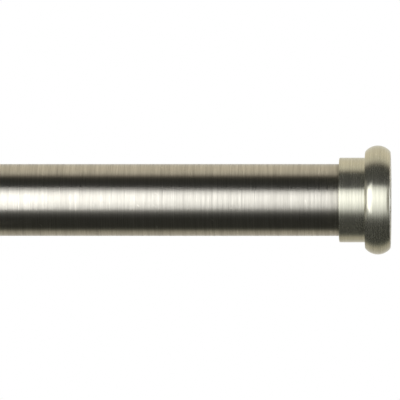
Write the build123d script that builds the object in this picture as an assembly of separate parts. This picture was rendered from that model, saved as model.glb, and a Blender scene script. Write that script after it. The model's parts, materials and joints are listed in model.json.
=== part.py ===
"""Telescoping curtain rod on two adjustable wall brackets, one STEP file per piece.

Frame, in millimetres: the wall is the plane Y = 0 and the room is on its -Y side, X runs along the rod
and +Z is up. The origin is on the wall, midway between the right bracket's two wall screws.
Bracket pieces are drawn about the wall end of their own arm, cap pieces along +X from the mouth of
their collar, and both are then placed at the right and the left.
"""

import os
from math import cos, radians, sin

from build123d import *

# Rod: a fat tube at the right, with a thinner one sliding in it from the left
ROD_PROJECTION = 89.0  # wall to the rod's axis, with both arms pushed in
OUTER_RADIUS = 25.4 / 2
INNER_RADIUS = 22.2 / 2
TUBE_WALL = 0.8
TUBE_LENGTH = 430.0
TUBE_RIGHT_END = 148.0
INNER_TUBE_SHOWING = 180.0
SLIDING_GAP = 0.10  # radial, between pieces that slide in one another
LOOSE_GAP = 0.30  # radial, between pieces that only surround one another
HOLE_END_ROOM = 0.3  # left past the end of a screw in its blind hole

# End caps, measured along the rod from the collar's mouth
COLLAR_RADIUS = 29.8 / 2
COLLAR_LENGTH = 9.1
DISC_RADIUS = 38.4 / 2
DISC_THICKNESS = 8.9
DISC_RIM_CURVE = 5.7
DISC_SHOULDER = 0.8
COLLAR_EDGE = 0.4
TUBE_IN_CAP = 8.0
SOCKET_DEPTH = 9.5
CAP_HOLLOW_RADIUS = 11.0
CAP_HOLLOW_DEPTH = 15.2
CAP_BOSS_RADIUS = 4.5

# Plug that grips inside the tube, and the screw that holds it to the cap
PLUG_LENGTH = 18.0
PLUG_FLANGE_RADIUS = 12.4
PLUG_FLANGE = 1.2
PLUG_RIB_DEPTH = 2.4
PLUG_RIB_WIDTH = 1.8
PLUG_RIBS = 8
PLUG_HEAD_POCKET = 3.2
CAP_SCREW_RADIUS = 2.0
CAP_SCREW_HEAD_RADIUS = 3.6
CAP_SCREW_HEAD = 2.6
CAP_SCREW_END = 14.0

# Nylon bushes of the telescope, and the reducer that fills the left cap's collar
MOUTH_BUSH_LENGTH = 14.0
GLIDE_BUSH_LENGTH = 12.0
GLIDE_RING_LENGTH = 8.0
GLIDE_BORE_RADIUS = 9.0
BUSH_LIP = 1.2
REDUCER_LIP = 1.5

# Brackets
BRACKET_SPACING = 314.0
PLATE_HEIGHT = 80.0
PLATE_WIDTH = 28.0
PLATE_THICKNESS = 4.0
PLATE_BEVEL = 1.2
PLATE_RIM = 2.5
PLATE_HOLLOW = 2.0
PLATE_BOSS_RADIUS = 10.0
PLATE_BOSS_FRONT = 9.0
SLEEVE_SEAT = 1.0
SLEEVE_RADIUS = 7.0
SLEEVE_FRONT = 54.0
SLEEVE_END_WALL = 8.0
ARM_RADIUS = 5.0
ARM_REAR = 17.0
CUP_BOSS_REAR = 67.0
CUP_STUD_RADIUS = 3.0
CUP_STUD_LENGTH = 7.0
LOCK_FROM_WALL = 47.0
LOCK_BOSS_BOTTOM = -11.0

# Cup that the rod drops into from above
CUP_INNER_RADIUS = OUTER_RADIUS + LOOSE_GAP
CUP_WALL = 3.2
CUP_WIDTH = 14.0
CUP_SIDE_HEIGHT = 7.4
CUP_REAR_BOSS_RADIUS = 6.0
CUP_SCREW_BOSS_RADIUS = 4.5
CUP_SCREW_BOSS_BOTTOM = -20.2
CUP_BOSS_ROOT = CUP_INNER_RADIUS + CUP_WALL / 3  # where both bosses end, inside the cup's wall

# Thumb screws: a nylon pad on the tip, a threaded stud and a fluted knob
PAD_GAP = 0.20
PAD_RADIUS = 1.8
PAD_HEIGHT = 2.5
PAD_HOLE_RADIUS = 0.96
PAD_HOLE_DEPTH = 1.4
TIP_RADIUS = 0.9
TIP_LENGTH = 1.3
TIP_SHOULDER_GAP = 0.1
TAPPED_HOLE_RADIUS = 2.0
THUMB_STUD_RADIUS = 1.95
KNOB_RADIUS = 5.6
KNOB_HUB_RADIUS = 3.8
KNOB_HUB_LENGTH = 2.0
KNOB_LENGTH = 9.5
KNOB_BORE_DEPTH = 6.0
KNOB_EDGE = 0.6
KNOB_FLUTES = 20
KNOB_FLUTE_RADIUS = 0.55
KNOB_GAP = 1.0

# A pan head is a straight-sided edge with a cone above it, as shares of its height and radius
PAN_EDGE = 0.45
PAN_TOP = 0.7

# Screws that hold each plate to the wall, and the bolt that holds its sleeve
WALL_SCREW_SPACING = 56.0
WALL_SCREW_THREAD_RADIUS = 2.1
WALL_SCREW_NECK_RADIUS = 1.9
WALL_SCREW_HOLE_RADIUS = 2.3
WALL_SCREW_THREAD = 26.0
WALL_SCREW_TIP = 30.0
WALL_SCREW_HEAD_RADIUS = 4.0
WALL_SCREW_HEAD = 2.6
SLEEVE_BOLT_RADIUS = 2.0
SLEEVE_BOLT_HEAD_RADIUS = 4.0
SLEEVE_BOLT_END = 15.0
SLEEVE_BOLT_CLEARANCE = 0.1
CROSS_LENGTH = 4.0
CROSS_WIDTH = 0.9
CROSS_DEPTH = 1.2

# Worked out from the above
OUTER_BORE = OUTER_RADIUS - TUBE_WALL
INNER_BORE = INNER_RADIUS - TUBE_WALL
MOUTH_X = TUBE_RIGHT_END - TUBE_LENGTH
INNER_LEFT_END = MOUTH_X - INNER_TUBE_SHOWING
INNER_RIGHT_END = INNER_LEFT_END + TUBE_LENGTH
CAP_LENGTH = COLLAR_LENGTH + DISC_THICKNESS
SLEEVE_REAR = PLATE_BOSS_FRONT - SLEEVE_SEAT
LEFT_BRACKET_RISE = OUTER_RADIUS - INNER_RADIUS  # so that the thinner tube also rests on its cup

ROD_AXIS = Pos(0, -ROD_PROJECTION, 0)
CAP_PLACES = {
    "right": ROD_AXIS * Pos(TUBE_RIGHT_END - TUBE_IN_CAP, 0, 0),
    "left": ROD_AXIS * Pos(INNER_LEFT_END + TUBE_IN_CAP, 0, 0) * Rot(0, 0, 180),
}
BRACKET_PLACES = {
    "right": Pos(0, 0, 0),
    "left": Pos(-BRACKET_SPACING, 0, LEFT_BRACKET_RISE),
}


def bar_x(radius, start, end):
    """A round bar on the X axis."""
    return Pos((start + end) / 2, 0, 0) * Cylinder(radius, abs(end - start), rotation=(0, 90, 0))


def bar_y(radius, start, end):
    """A round bar on the Y axis, with its ends given as distances in front of the wall."""
    return Pos(0, -(start + end) / 2, 0) * Cylinder(radius, abs(end - start), rotation=(90, 0, 0))


def bar_z(radius, start, end):
    """A round bar on the Z axis."""
    return Pos(0, 0, (start + end) / 2) * Cylinder(radius, abs(end - start))


def turned(outline):
    """Turns a closed outline of (place along X, radius) points about the X axis."""
    return revolve(make_face(Polyline(outline, close=True)), Axis.X)


def turned_up(outline):
    """Turns a closed outline of (radius, height) points about the Z axis."""
    return revolve(make_face(Plane.XZ * Polyline(outline, close=True)), Axis.Z)


def facing_room(shape):
    """Turns a piece drawn upwards along +Z so that its top faces the room, along -Y."""
    return Rot(90, 0, 0) * shape


def cross_recess(top):
    """The cutter for a cross-shaped driver recess that goes down from a height on the Z axis."""
    slot = Box(CROSS_LENGTH, CROSS_WIDTH, CROSS_DEPTH, align=(Align.CENTER, Align.CENTER, Align.MAX))
    return Pos(0, 0, top) * (slot + Rot(0, 0, 90) * slot)


def tube(radius, bore, start, end):
    """A straight tube on the rod's axis."""
    return ROD_AXIS * (bar_x(radius, start, end) - bar_x(bore, start, end))


def mouth_bush():
    """Nylon sleeve in the fat tube's mouth, with a lip over the tube's edge."""
    body = bar_x(OUTER_BORE, MOUTH_X, MOUTH_X + MOUTH_BUSH_LENGTH)
    lip = bar_x(OUTER_RADIUS, MOUTH_X - BUSH_LIP, MOUTH_X)
    bore = bar_x(INNER_RADIUS + SLIDING_GAP, MOUTH_X - BUSH_LIP, MOUTH_X + MOUTH_BUSH_LENGTH)
    return ROD_AXIS * (body + lip - bore)


def glide_bush():
    """Nylon ring on the thin tube's hidden end, which keeps it central in the fat tube."""
    stem = bar_x(INNER_BORE, INNER_RIGHT_END - GLIDE_BUSH_LENGTH, INNER_RIGHT_END)
    ring = bar_x(OUTER_BORE - SLIDING_GAP, INNER_RIGHT_END, INNER_RIGHT_END + GLIDE_RING_LENGTH)
    start = INNER_RIGHT_END - GLIDE_BUSH_LENGTH
    bore = bar_x(GLIDE_BORE_RADIUS, start, INNER_RIGHT_END + GLIDE_RING_LENGTH)
    return ROD_AXIS * (stem + ring - bore)


def reducer_sleeve():
    """Nylon sleeve that makes the thin tube's end as fat as the other tube, for the same cap."""
    end = INNER_LEFT_END + TUBE_IN_CAP + REDUCER_LIP
    return tube(OUTER_RADIUS, INNER_RADIUS, INNER_LEFT_END, end)


def end_cap():
    """Cast cap: a collar round the tube and a bun-shaped disc, hollow behind a screw boss."""
    corner_radius = DISC_RADIUS - DISC_RIM_CURVE + (DISC_RIM_CURVE**2 - DISC_THICKNESS**2 / 4) ** 0.5
    near, far = COLLAR_LENGTH, CAP_LENGTH
    rim = ThreePointArc((near, corner_radius), ((near + far) / 2, DISC_RADIUS), (far, corner_radius))
    around = Polyline(
        (far, corner_radius),
        (far, 0),
        (CAP_HOLLOW_DEPTH, 0),
        (CAP_HOLLOW_DEPTH, CAP_HOLLOW_RADIUS),
        (SOCKET_DEPTH, CAP_HOLLOW_RADIUS),
        (SOCKET_DEPTH, OUTER_RADIUS + LOOSE_GAP),
        (0, OUTER_RADIUS + LOOSE_GAP),
        (0, COLLAR_RADIUS - COLLAR_EDGE),
        (COLLAR_EDGE, COLLAR_RADIUS),
        (near, COLLAR_RADIUS),
        (near, corner_radius),
    )
    outline = make_face(rim + around)
    corners = outline.vertices().filter_by_position(Axis.Y, corner_radius - 0.01, corner_radius + 0.01)
    shell = revolve(fillet(corners, DISC_SHOULDER), Axis.X)
    boss = bar_x(CAP_BOSS_RADIUS, SOCKET_DEPTH, CAP_HOLLOW_DEPTH)
    return shell + boss - bar_x(CAP_SCREW_RADIUS, SOCKET_DEPTH, CAP_SCREW_END + HOLE_END_ROOM)


def cap_plug(tube_bore):
    """Ribbed nylon plug that slides into a tube of a given bore and backs against the cap's socket."""
    flange_face = SOCKET_DEPTH - PLUG_FLANGE
    start = flange_face - PLUG_LENGTH
    core_radius = tube_bore - PLUG_RIB_DEPTH
    plug = bar_x(core_radius, start, flange_face) + bar_x(PLUG_FLANGE_RADIUS, flange_face, SOCKET_DEPTH)
    rib_reach = tube_bore - SLIDING_GAP
    rib = Pos((start + flange_face) / 2, 0, rib_reach / 2) * Box(PLUG_LENGTH, PLUG_RIB_WIDTH, rib_reach)
    ribs = [Rot(360 / PLUG_RIBS * i, 0, 0) * rib for i in range(PLUG_RIBS)]
    envelope = bar_x(rib_reach, start, flange_face)
    plug += Part() + ribs & envelope
    plug -= bar_x(CAP_SCREW_RADIUS, start, SOCKET_DEPTH)
    return plug - bar_x(CAP_SCREW_HEAD_RADIUS + LOOSE_GAP, start, start + PLUG_HEAD_POCKET)


def cap_plug_screw():
    """Pan-head screw through the plug into the cap's boss."""
    seat = SOCKET_DEPTH - PLUG_FLANGE - PLUG_LENGTH + PLUG_HEAD_POCKET
    head_radius = CAP_SCREW_HEAD_RADIUS
    screw = turned(
        [
            (seat - CAP_SCREW_HEAD, 0),
            (seat - CAP_SCREW_HEAD, head_radius * PAN_TOP),
            (seat - CAP_SCREW_HEAD * PAN_EDGE, head_radius),
            (seat, head_radius),
            (seat, CAP_SCREW_RADIUS),
            (CAP_SCREW_END, CAP_SCREW_RADIUS),
            (CAP_SCREW_END, 0),
        ]
    )
    recess = Rot(0, -90, 0) * cross_recess(CAP_SCREW_HEAD - seat)
    return screw - recess


def wall_plate():
    """Long round-ended plate with a bevelled front, a rimmed hollow back and a seat for the sleeve."""
    plate = extrude(Plane.XZ * SlotOverall(PLATE_HEIGHT, PLATE_WIDTH, rotation=90), PLATE_THICKNESS)
    front_edges = plate.faces().sort_by(Axis.Y)[0].edges()
    plate = chamfer(front_edges, PLATE_BEVEL)
    plate += bar_y(PLATE_BOSS_RADIUS, PLATE_THICKNESS, PLATE_BOSS_FRONT)
    inside = SlotOverall(PLATE_HEIGHT - 2 * PLATE_RIM, PLATE_WIDTH - 2 * PLATE_RIM, rotation=90)
    plate -= extrude(Plane.XZ * inside, PLATE_HOLLOW)
    plate -= bar_y(SLEEVE_RADIUS, SLEEVE_REAR, PLATE_BOSS_FRONT)
    bolt_hole = SLEEVE_BOLT_RADIUS + SLEEVE_BOLT_CLEARANCE
    plate -= bar_y(bolt_hole, PLATE_HOLLOW, SLEEVE_REAR)
    countersink_radius = SLEEVE_BOLT_HEAD_RADIUS + SLEEVE_BOLT_CLEARANCE
    countersink_depth = countersink_radius - bolt_hole
    countersink = Cone(countersink_radius, bolt_hole, countersink_depth)
    plate -= Pos(0, -PLATE_HOLLOW - countersink_depth / 2, 0) * facing_room(countersink)
    for side in (-1, 1):
        hole = bar_y(WALL_SCREW_HOLE_RADIUS, 0, PLATE_THICKNESS)
        plate -= Pos(0, 0, side * WALL_SCREW_SPACING / 2) * hole
    return plate


def sleeve_bolt():
    """Countersunk bolt from the plate's hollow back into the sleeve's solid end."""
    cone_depth = SLEEVE_BOLT_HEAD_RADIUS - SLEEVE_BOLT_RADIUS
    bolt = turned_up(
        [
            (0, PLATE_HOLLOW),
            (SLEEVE_BOLT_HEAD_RADIUS, PLATE_HOLLOW),
            (SLEEVE_BOLT_RADIUS, PLATE_HOLLOW + cone_depth),
            (SLEEVE_BOLT_RADIUS, SLEEVE_BOLT_END),
            (0, SLEEVE_BOLT_END),
        ]
    )
    recess = Pos(0, 0, PLATE_HOLLOW + CROSS_DEPTH) * cross_recess(0)
    return facing_room(bolt - recess)


def wall_screws():
    """The two pan-head screws of one bracket, with their threads standing in the wall."""
    head_seat = PLATE_THICKNESS
    head_top = head_seat + WALL_SCREW_HEAD
    screw = turned_up(
        [
            (0, -WALL_SCREW_TIP),
            (WALL_SCREW_THREAD_RADIUS, -WALL_SCREW_THREAD),
            (WALL_SCREW_THREAD_RADIUS, 0),
            (WALL_SCREW_NECK_RADIUS, 0),
            (WALL_SCREW_NECK_RADIUS, head_seat),
            (WALL_SCREW_HEAD_RADIUS, head_seat),
            (WALL_SCREW_HEAD_RADIUS, head_seat + WALL_SCREW_HEAD * PAN_EDGE),
            (WALL_SCREW_HEAD_RADIUS * PAN_TOP, head_top),
            (0, head_top),
        ]
    )
    screw = facing_room(screw - cross_recess(head_top))
    return [Pos(0, 0, side * WALL_SCREW_SPACING / 2) * screw for side in (-1, 1)]


def arm_sleeve():
    """Tube that stands on the plate, solid at its wall end, with a boss below for the lock screw."""
    sleeve = bar_y(SLEEVE_RADIUS, SLEEVE_REAR, SLEEVE_FRONT)
    lock = Pos(0, -LOCK_FROM_WALL, 0)
    sleeve += lock * bar_z(CUP_SCREW_BOSS_RADIUS, LOCK_BOSS_BOTTOM, 0)
    sleeve -= bar_y(ARM_RADIUS + SLIDING_GAP, SLEEVE_REAR + SLEEVE_END_WALL, SLEEVE_FRONT)
    sleeve -= lock * bar_z(TAPPED_HOLE_RADIUS, LOCK_BOSS_BOTTOM, 0)
    return sleeve - bar_y(SLEEVE_BOLT_RADIUS, SLEEVE_REAR, SLEEVE_BOLT_END + HOLE_END_ROOM)


def arm_rod():
    """Round arm that slides in the sleeve, with a stud in front that screws into the cup."""
    arm = bar_y(ARM_RADIUS, ARM_REAR, CUP_BOSS_REAR)
    return arm + bar_y(CUP_STUD_RADIUS, CUP_BOSS_REAR, CUP_BOSS_REAR + CUP_STUD_LENGTH)


def rod_cup():
    """U-shaped cup, open at the top, with a boss behind for the arm and one below for its screw."""
    outer_radius = CUP_INNER_RADIUS + CUP_WALL
    below = Pos(0, -outer_radius) * Rectangle(4 * outer_radius, 2 * outer_radius)
    outline = (Circle(outer_radius) - Circle(CUP_INNER_RADIUS)) & below
    for side in (-1, 1):
        wall_middle = side * (CUP_INNER_RADIUS + CUP_WALL / 2)
        outline += Pos(wall_middle, CUP_SIDE_HEIGHT / 2) * Rectangle(CUP_WALL, CUP_SIDE_HEIGHT)
        outline += Pos(wall_middle, CUP_SIDE_HEIGHT) * Circle(CUP_WALL / 2)
    cup = ROD_AXIS * extrude(Plane.YZ * outline, CUP_WIDTH / 2, both=True)
    cup += bar_y(CUP_REAR_BOSS_RADIUS, CUP_BOSS_REAR, ROD_PROJECTION - CUP_BOSS_ROOT)
    cup += ROD_AXIS * bar_z(CUP_SCREW_BOSS_RADIUS, CUP_SCREW_BOSS_BOTTOM, -CUP_BOSS_ROOT)
    cup -= bar_y(CUP_STUD_RADIUS, CUP_BOSS_REAR, CUP_BOSS_REAR + CUP_STUD_LENGTH + HOLE_END_ROOM)
    return cup - ROD_AXIS * bar_z(TAPPED_HOLE_RADIUS, CUP_SCREW_BOSS_BOTTOM, -CUP_INNER_RADIUS + CUP_WALL)


def thumb_screw(held_radius, boss_bottom):
    """Pad, stud and knob that clamp a round bar of a given radius from below, on the Z axis."""
    pad_top = -held_radius - PAD_GAP
    pad_bottom = pad_top - PAD_HEIGHT
    pad = bar_z(PAD_RADIUS, pad_bottom, pad_top)
    pad -= bar_z(PAD_HOLE_RADIUS, pad_bottom, pad_bottom + PAD_HOLE_DEPTH)

    shoulder = pad_bottom - TIP_SHOULDER_GAP
    knob_top = boss_bottom - KNOB_GAP
    knob_bottom = knob_top - KNOB_LENGTH
    stud = bar_z(THUMB_STUD_RADIUS, knob_top - KNOB_BORE_DEPTH, shoulder)
    stud += bar_z(TIP_RADIUS, shoulder, shoulder + TIP_LENGTH)

    grip_top = knob_top - KNOB_HUB_LENGTH
    knob = turned_up(
        [
            (0, knob_top),
            (KNOB_HUB_RADIUS, knob_top),
            (KNOB_HUB_RADIUS, grip_top),
            (KNOB_RADIUS - KNOB_EDGE, grip_top),
            (KNOB_RADIUS, grip_top - KNOB_EDGE),
            (KNOB_RADIUS, knob_bottom + KNOB_EDGE),
            (KNOB_RADIUS - KNOB_EDGE, knob_bottom),
            (0, knob_bottom),
        ]
    )
    for i in range(KNOB_FLUTES):
        angle = radians(360 / KNOB_FLUTES * i)
        flute = bar_z(KNOB_FLUTE_RADIUS, knob_bottom, grip_top)
        knob -= Pos(KNOB_RADIUS * cos(angle), KNOB_RADIUS * sin(angle), 0) * flute
    knob -= bar_z(THUMB_STUD_RADIUS, knob_top - KNOB_BORE_DEPTH, knob_top)
    return {"pad": pad, "screw": stud, "knob": knob}


def rod_pieces():
    """Every piece of the rod itself, by name."""
    pieces = {
        "outer_tube": tube(OUTER_RADIUS, OUTER_BORE, MOUTH_X, TUBE_RIGHT_END),
        "inner_tube": tube(INNER_RADIUS, INNER_BORE, INNER_LEFT_END, INNER_RIGHT_END),
        "mouth_bush": mouth_bush(),
        "glide_bush": glide_bush(),
        "reducer_sleeve": reducer_sleeve(),
    }
    for side, bore in (("right", OUTER_BORE), ("left", INNER_BORE)):
        pieces[f"end_cap_{side}"] = CAP_PLACES[side] * end_cap()
        pieces[f"cap_plug_{side}"] = CAP_PLACES[side] * cap_plug(bore)
        pieces[f"cap_plug_screw_{side}"] = CAP_PLACES[side] * cap_plug_screw()
    return pieces


def bracket_pieces():
    """Every piece of both brackets, by name."""
    drawn = {
        "wall_plate": [wall_plate()],
        "wall_screws": wall_screws(),
        "arm_sleeve": [arm_sleeve()],
        "sleeve_bolt": [sleeve_bolt()],
        "arm_rod": [arm_rod()],
        "rod_cup": [rod_cup()],
    }
    for piece, solid in thumb_screw(OUTER_RADIUS, CUP_SCREW_BOSS_BOTTOM).items():
        drawn[f"cup_{piece}"] = [ROD_AXIS * solid]
    for piece, solid in thumb_screw(ARM_RADIUS, LOCK_BOSS_BOTTOM).items():
        drawn[f"arm_{piece}"] = [Pos(0, -LOCK_FROM_WALL, 0) * solid]
    pieces = {}
    for side, place in BRACKET_PLACES.items():
        for name, solids in drawn.items():
            placed = [place * solid for solid in solids]
            pieces[f"{name}_{side}"] = placed[0] if len(placed) == 1 else Compound(children=placed)
    return pieces


os.makedirs("parts", exist_ok=True)
for name, piece in (rod_pieces() | bracket_pieces()).items():
    export_step(piece, f"parts/{name}.step")
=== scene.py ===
"""Finished look of a telescoping curtain rod on two wall brackets, built around its CAD frame.

Lengths are in metres, in the frame of the CAD model: X along the rod, the wall at Y = 0 with the room
on its -Y side, and +Z up. Each piece is a surface worked out as whole arrays, placed where the frame
says, and it rides on the body that its CAD node belongs to.
"""

import json
from math import cos, pi, radians, sin

import bmesh
import bpy
import numpy as np
from bpy.props import FloatProperty, FloatVectorProperty, IntProperty, PointerProperty
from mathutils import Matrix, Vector


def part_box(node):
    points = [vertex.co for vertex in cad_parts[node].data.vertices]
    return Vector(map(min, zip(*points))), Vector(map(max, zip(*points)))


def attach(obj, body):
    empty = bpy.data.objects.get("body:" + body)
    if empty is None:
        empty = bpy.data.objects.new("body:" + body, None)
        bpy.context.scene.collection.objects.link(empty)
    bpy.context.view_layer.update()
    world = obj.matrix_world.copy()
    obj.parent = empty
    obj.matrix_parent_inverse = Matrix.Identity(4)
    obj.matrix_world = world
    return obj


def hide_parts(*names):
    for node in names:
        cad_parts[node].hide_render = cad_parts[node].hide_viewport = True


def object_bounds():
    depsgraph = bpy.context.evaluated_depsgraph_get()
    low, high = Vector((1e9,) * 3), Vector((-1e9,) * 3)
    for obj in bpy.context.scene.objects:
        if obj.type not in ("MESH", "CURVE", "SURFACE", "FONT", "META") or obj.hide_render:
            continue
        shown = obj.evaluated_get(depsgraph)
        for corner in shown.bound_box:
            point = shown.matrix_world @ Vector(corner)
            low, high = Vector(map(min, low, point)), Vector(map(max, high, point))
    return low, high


bl_info = {
    "name": "Curtain Rod Finish",
    "version": (1, 0, 0),
    "blender": (4, 5, 0),
    "location": "View3D > Sidebar > Curtain Rod",
    "description": "Builds the visible pieces of a telescoping curtain rod around its CAD frame",
    "category": "Object",
}

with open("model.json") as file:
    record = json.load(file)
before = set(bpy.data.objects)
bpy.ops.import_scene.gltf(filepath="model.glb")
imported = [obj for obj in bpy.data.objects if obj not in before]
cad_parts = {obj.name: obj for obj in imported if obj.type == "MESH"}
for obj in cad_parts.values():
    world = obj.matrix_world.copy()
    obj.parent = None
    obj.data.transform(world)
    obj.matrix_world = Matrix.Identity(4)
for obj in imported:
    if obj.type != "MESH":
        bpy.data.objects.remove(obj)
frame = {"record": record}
CAD_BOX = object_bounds()
MM = 0.001
SIDES = ("right", "left")
BODY_OF = {
    node: body for body, nodes in frame["record"]["behaviour"]["bodies"].items() for node in nodes
}


# Places and sizes read from the frame


def span(node, axis):
    """Lowest and highest place of a CAD node along one axis, 0 for X, 1 for Y and 2 for Z."""
    low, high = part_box(node)
    return low[axis], high[axis]


def middle(node):
    """Centre of a CAD node's box."""
    low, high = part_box(node)
    return np.array((low + high) / 2)


ROD_CENTRE = middle("outer_tube")
TUBE_RADIUS = (span("outer_tube", 1)[1] - span("outer_tube", 1)[0]) / 2
THIN_RADIUS = (span("inner_tube", 1)[1] - span("inner_tube", 1)[0]) / 2
DISC_RADIUS = (span("end_cap_right", 1)[1] - span("end_cap_right", 1)[0]) / 2
TUBE_WALL = 0.8 * MM


# Settings that a user may change


def setting(name, description, default, **limits):
    """A number that the user may change."""
    return FloatProperty(name=name, description=description, default=default, **limits)


def length_setting(name, description, default):
    """A length in metres."""
    return setting(name, description, default, subtype="DISTANCE", unit="LENGTH")


def angle_setting(name, description, degrees):
    """An angle, given in degrees."""
    return setting(name, description, radians(degrees), subtype="ANGLE", unit="ROTATION")


def share_setting(name, description, default):
    """A share from 0 to 1."""
    return setting(name, description, default, subtype="FACTOR", min=0, max=1)


def colour_setting(name, description, default):
    """A colour."""
    return FloatVectorProperty(
        name=name, description=description, default=default, subtype="COLOR", size=3, min=0, max=1
    )


class FinishSettings(bpy.types.PropertyGroup):
    """Colours and gloss of the plated, zinc and nylon pieces."""

    nickel: colour_setting("Nickel", "Colour that the brushed nickel plate reflects", (0.62, 0.60, 0.545))
    streak_contrast: share_setting(
        "Streak contrast", "How much lighter and darker the brush marks are than the plate", 0.25
    )
    slant: angle_setting("Slant", "Lean of the second, sparser layer of brush marks", 11)
    nicks: share_setting("Nicks", "Strength of the few fine scratches that cross the brush marks", 0.55)
    nick_lean: angle_setting("Nick lean", "Direction of the fine scratches", 52)
    streak_width: length_setting("Streak width", "Width of one brush mark", 0.24 * MM)
    streak_length: length_setting("Streak length", "Length of one brush mark round the tube", 22 * MM)
    tube_roughness: share_setting("Tube roughness", "Roughness of the brushed tubes", 0.40)
    casting_roughness: share_setting("Casting roughness", "Roughness of the cast and turned pieces", 0.42)
    cap_roughness: share_setting(
        "Cap roughness", "Roughness of the end caps, which are polished further than the brackets", 0.22
    )
    cap_nickel: colour_setting(
        "Cap nickel", "Colour that the plate of the end caps reflects", (0.63, 0.625, 0.53)
    )
    cap_haze: share_setting("Cap haze", "Share of light that the end caps scatter evenly", 0.045)
    zinc: colour_setting("Zinc", "Colour of the zinc-plated screws", (0.66, 0.67, 0.66))
    white_nylon: colour_setting("White nylon", "Colour of the plugs and clamp pads", (0.80, 0.79, 0.74))
    grey_nylon: colour_setting(
        "Grey nylon", "Colour of the mouth bush and the reducer sleeve", (0.16, 0.155, 0.145)
    )


class ShapeSettings(bpy.types.PropertyGroup):
    """Sizes of the small shapes that the CAD model leaves plain."""

    segments: IntProperty(
        name="Segments",
        description="Steps round a full turn of the large round pieces",
        min=24,
        max=512,
        default=192,
    )
    disc_rim_curve: length_setting("Disc rim curve", "Radius of the end cap's rounded rim", 5.7 * MM)
    disc_shoulder: length_setting(
        "Disc shoulder", "Rounding between the disc's flat faces and its rim", 0.8 * MM
    )
    collar_edge: length_setting("Collar edge", "Rounding of the collar's mouth", 0.4 * MM)


class StageSettings(bpy.types.PropertyGroup):
    """Camera and studio."""

    frame_width: length_setting("Frame width", "Width that the camera sees at the rod", 140.9 * MM)
    camera_distance: length_setting("Camera distance", "Distance from the rod to the camera", 4.0)
    camera_azimuth: angle_setting(
        "Camera azimuth", "How far the camera stands round to the rod's right end", 2.2
    )
    studio: setting("Studio", "Brightness of the studio round the rod", 1.0, min=0)
    key: setting("Key light", "Brightness of the panel in front of the rod's left part", 1.1, min=0)
    fill: setting(
        "Fill light", "Brightness of the soft light from above on the floor and the nylon", 4.0, min=0
    )
    floor_drop: length_setting("Floor drop", "Height of the brackets above the floor", 0.16)


# Surfaces as arrays


def grid(points, wrap_rows=False, wrap_columns=False, windows=()):
    """Vertices and faces of a sheet given as rows by columns of points.

    Face (i, j) joins points (i, j), (i + 1, j), (i + 1, j + 1) and (i, j + 1); a wrapped direction
    also joins its last line to its first. A window leaves out the faces between two rows and between
    two columns.
    """
    rows, columns = points.shape[:2]
    index = np.arange(rows * columns).reshape(rows, columns)
    if wrap_rows:
        index = np.vstack([index, index[:1]])
    if wrap_columns:
        index = np.hstack([index, index[:, :1]])
    faces = np.stack([index[:-1, :-1], index[1:, :-1], index[1:, 1:], index[:-1, 1:]], axis=-1)
    kept = np.ones(faces.shape[:2], bool)
    for (first_row, last_row), (first_column, last_column) in windows:
        kept[first_row:last_row, first_column:last_column] = False
    return points.reshape(-1, 3), faces[kept]


def rounded(corners, steps=6):
    """An outline through (x, y, radius) corners, each corner with a radius turned into an arc.

    The arc touches both sides at radius / tan(half the corner's angle) from the corner, and its centre
    lies on the bisector at radius / sin(half the angle). The first and last points stay as they are.
    """
    corners = np.array([tuple(c) + (0,) * (3 - len(c)) for c in corners], float)
    points = [corners[:1, :2]]
    for before, corner, after in zip(corners[:-2], corners[1:-1], corners[2:]):
        place, radius = corner[:2], corner[2]
        if radius <= 0:
            points.append(place[None])
            continue
        u, v = ((other[:2] - place) / np.linalg.norm(other[:2] - place) for other in (before, after))
        half = np.arccos(np.clip(u @ v, -1, 1)) / 2
        centre = place + (u + v) / np.linalg.norm(u + v) * radius / np.sin(half)
        start, end = (place + way * radius / np.tan(half) - centre for way in (u, v))
        turn = pi - 2 * half
        share = np.linspace(0, 1, steps + 1)[:, None]
        arc = (np.sin((1 - share) * turn) * start + np.sin(share * turn) * end) / np.sin(turn)
        points.append(centre + arc)
    points.append(corners[-1:, :2])
    return np.concatenate(points)


def around(segments):
    """Evenly spaced angles of one full turn, without the repeated last one."""
    return np.linspace(0, 2 * pi, segments, endpoint=False)


AXES = {
    "X": np.array([[1, 0, 0], [0, 1, 0], [0, 0, 1]], float),
    "Y": np.array([[0, -1, 0], [1, 0, 0], [0, 0, 1]], float),
    "Z": np.array([[0, 0, 1], [0, 1, 0], [-1, 0, 0]], float),
    "into_wall": np.array([[0, 1, 0], [-1, 0, 0], [0, 0, 1]], float),
}


def turned(outline, angles, axis="X", relief=None):
    """Points turned about an axis: (s, r) at angle t lands at s along it and r (cos t, sin t) across it.

    relief is a depth taken off the radius, as an array of outline points by angles. For the Y axis,
    distances along it are counted towards the room, along -Y.
    """
    along = np.repeat(outline[:, :1], len(angles), axis=1)
    radius = np.repeat(outline[:, 1:2], len(angles), axis=1)
    if relief is not None:
        radius = radius - relief
    points = np.stack([along, radius * np.cos(angles), radius * np.sin(angles)], axis=-1)
    return points @ AXES[axis]


def turned_shell(outline, angles, axis="X", relief=None):
    """Sheet of an outline that starts and ends on the axis it is turned about."""
    return grid(turned(outline, angles, axis, relief), wrap_columns=True)


def turned_ring(corners, angles, steps=5, relief_of=None):
    """Ring turned about X from closed corners, the last of which is the first again."""
    outline = rounded(corners, steps)[:-1]
    relief = relief_of(outline) if relief_of else None
    return grid(turned(outline, angles, "X", relief), wrap_rows=True, wrap_columns=True)


def straight(places, radius):
    """Outline points at one radius."""
    return np.stack([places, np.full(len(places), radius)], axis=-1)


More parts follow.
